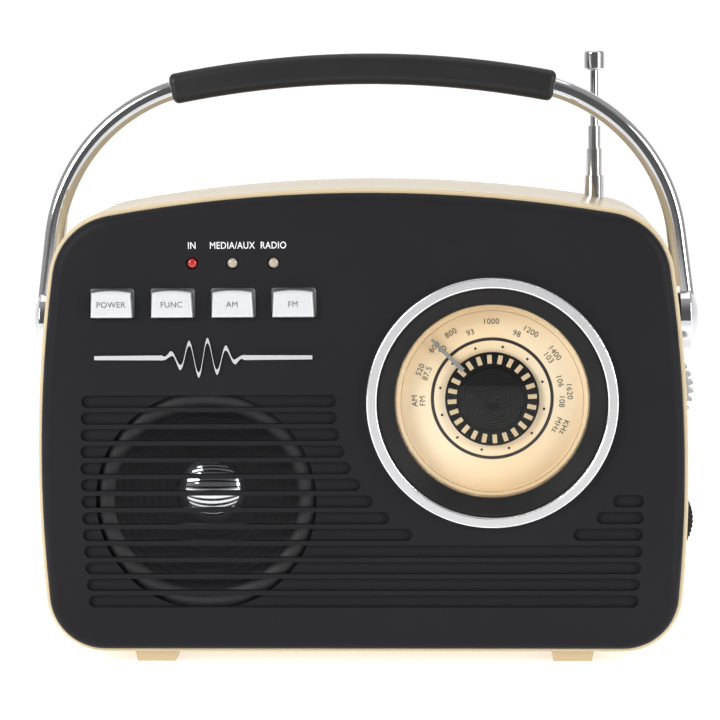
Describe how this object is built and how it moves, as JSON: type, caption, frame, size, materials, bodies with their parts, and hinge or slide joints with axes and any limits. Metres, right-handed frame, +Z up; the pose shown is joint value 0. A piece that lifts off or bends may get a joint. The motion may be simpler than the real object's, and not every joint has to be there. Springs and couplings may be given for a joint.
{
  "type": "tabletop radio",
  "caption": "Retro tabletop radio with a round tuning dial, slotted grille, push keys, edge wheels, tilting carrying handle and telescopic aerial.",
  "frame": {"origin": "on the surface the radio stands on, under the middle of its bounding box", "axes": "+X to the right seen from the front, +Y towards the back, +Z up; the face looks along -Y"},
  "size_m": [0.2532, 0.086, 0.2262],
  "materials": {
    "black_shell": "satin soft-touch",
    "cream_shell": "gloss",
    "cream_print": "printed plate",
    "chrome": "polished plate",
    "brushed_ring": "turned and brushed",
    "black_plastic": "moulded",
    "silver_plastic": "silver paint",
    "key_white": "pearl white",
    "clear_lens": "clear",
    "red_lamp": "tinted lens",
    "milky_lamp": "milky lens",
    "steel": "bright",
    "cell_case": "printed sleeve",
    "spring_steel": "nickel plated",
    "cone_paper": "pressed pulp",
    "rubber": "soft",
    "magnet": "ferrite",
    "board_green": "solder mask",
    "nylon": "natural nylon",
    "copper_coil": "enamelled wire",
    "grip_black": "moulded grip"
  },
  "bodies": {
    "cabinet": {"front_panel": "black_shell", "cabinet_frame": "cream_shell", "rear_cover": "cream_shell", "feet": "cream_shell", "battery_box": "black_plastic", "battery_cells": "cell_case", "battery_contacts": "spring_steel", "case_screws": "steel", "small_screws": "steel", "dial_ring": "brushed_ring", "dial_bezel": "black_plastic", "dial_lens": "clear_lens", "dial_plate": "cream_print", "tuning_pin": "steel", "volume_control": "steel", "wheel_bracket": "black_plastic", "key_board": "board_green", "key_switches": "black_plastic", "power_lamp": "red_lamp", "mode_lamps": "milky_lamp", "front_ornament": "chrome", "speaker_basket": "black_plastic", "speaker_surround": "rubber", "speaker_cone": "cone_paper", "speaker_dust_cap": "chrome", "speaker_magnet": "magnet", "tuning_capacitor": "milky_lamp", "main_board": "board_green", "board_parts": "black_plastic", "ferrite_rod": "magnet", "aerial_coil": "copper_coil", "ferrite_clips": "nylon", "transformer": "magnet", "mains_inlet": "black_plastic", "media_board": "board_green", "usb_socket": "steel", "card_slot": "steel", "aux_socket": "black_plastic", "aerial_sleeve": "chrome", "aerial_bracket": "black_plastic", "handle_plinths": "black_plastic", "handle_pivots": "steel"},
    "handle": {"handle_strap": "chrome", "handle_grip": "grip_black", "handle_hubs": "chrome"},
    "aerial_lower": {"aerial_lower": "chrome"},
    "aerial_middle": {"aerial_middle": "chrome"},
    "aerial_tip": {"aerial_tip": "chrome"},
    "dial": {"dial_gear": "nylon", "dial_disc": "black_plastic", "dial_pointer": "steel"},
    "tuning_wheel": {"tuning_wheel": "silver_plastic"},
    "volume": {"volume_wheel": "black_plastic", "volume_shaft": "steel"},
    "battery_door": {"battery_door": "cream_shell"},
    "power_key": {"power_key": "key_white"},
    "function_key": {"function_key": "key_white"},
    "am_key": {"am_key": "key_white"},
    "fm_key": {"fm_key": "key_white"}
  },
  "joints": [
    {"name": "handle_tilt", "type": "hinge", "parent": "cabinet", "child": "handle", "pos_m": [0, 0.002, 0.1256], "axis": [1, 0, 0], "range_deg": [-10, 24]},
    {"name": "aerial_lower_slide", "type": "slide", "parent": "cabinet", "child": "aerial_lower", "axis": [0, 0, 1], "range_m": [-0.0093, 0.086]},
    {"name": "aerial_middle_slide", "type": "slide", "parent": "aerial_lower", "child": "aerial_middle", "axis": [0, 0, 1], "range_m": [-0.0078, 0.088]},
    {"name": "aerial_tip_slide", "type": "slide", "parent": "aerial_middle", "child": "aerial_tip", "axis": [0, 0, 1], "range_m": [-0.0202, 0.078]},
    {"name": "dial_turn", "type": "hinge", "parent": "cabinet", "child": "dial", "pos_m": [0.0483, -0.023, 0.0987], "axis": [0, 1, 0], "range_deg": [-38, 140]},
    {"name": "tuning_turn", "type": "hinge", "parent": "cabinet", "child": "tuning_wheel", "pos_m": [0.10723, -0.02, 0.1016], "axis": [0, 1, 0], "range_deg": [-412, 113]},
    {"name": "volume_turn", "type": "hinge", "parent": "cabinet", "child": "volume", "pos_m": [0.10723, -0.016, 0.052], "axis": [0, 1, 0], "range_deg": [-150, 150]},
    {"name": "battery_door_hinge", "type": "hinge", "parent": "cabinet", "child": "battery_door", "pos_m": [0, 0.043, 0.014], "axis": [-1, 0, 0], "range_deg": [0, 95]},
    {"name": "power_key_press", "type": "slide", "parent": "cabinet", "child": "power_key", "axis": [0, 1, 0], "range_m": [0, 0.002], "stiffness_N_per_m": 350, "springref_m": -0.0015},
    {"name": "function_key_press", "type": "slide", "parent": "cabinet", "child": "function_key", "axis": [0, 1, 0], "range_m": [0, 0.002], "stiffness_N_per_m": 350, "springref_m": -0.0015},
    {"name": "am_key_press", "type": "slide", "parent": "cabinet", "child": "am_key", "axis": [0, 1, 0], "range_m": [0, 0.002], "stiffness_N_per_m": 350, "springref_m": -0.0015},
    {"name": "fm_key_press", "type": "slide", "parent": "cabinet", "child": "fm_key", "axis": [0, 1, 0], "range_m": [0, 0.002], "stiffness_N_per_m": 350, "springref_m": -0.0015}
  ],
  "couplings": [
    {"joint": "tuning_turn", "follows": "dial_turn", "ratio": -2.9333}
  ]
}
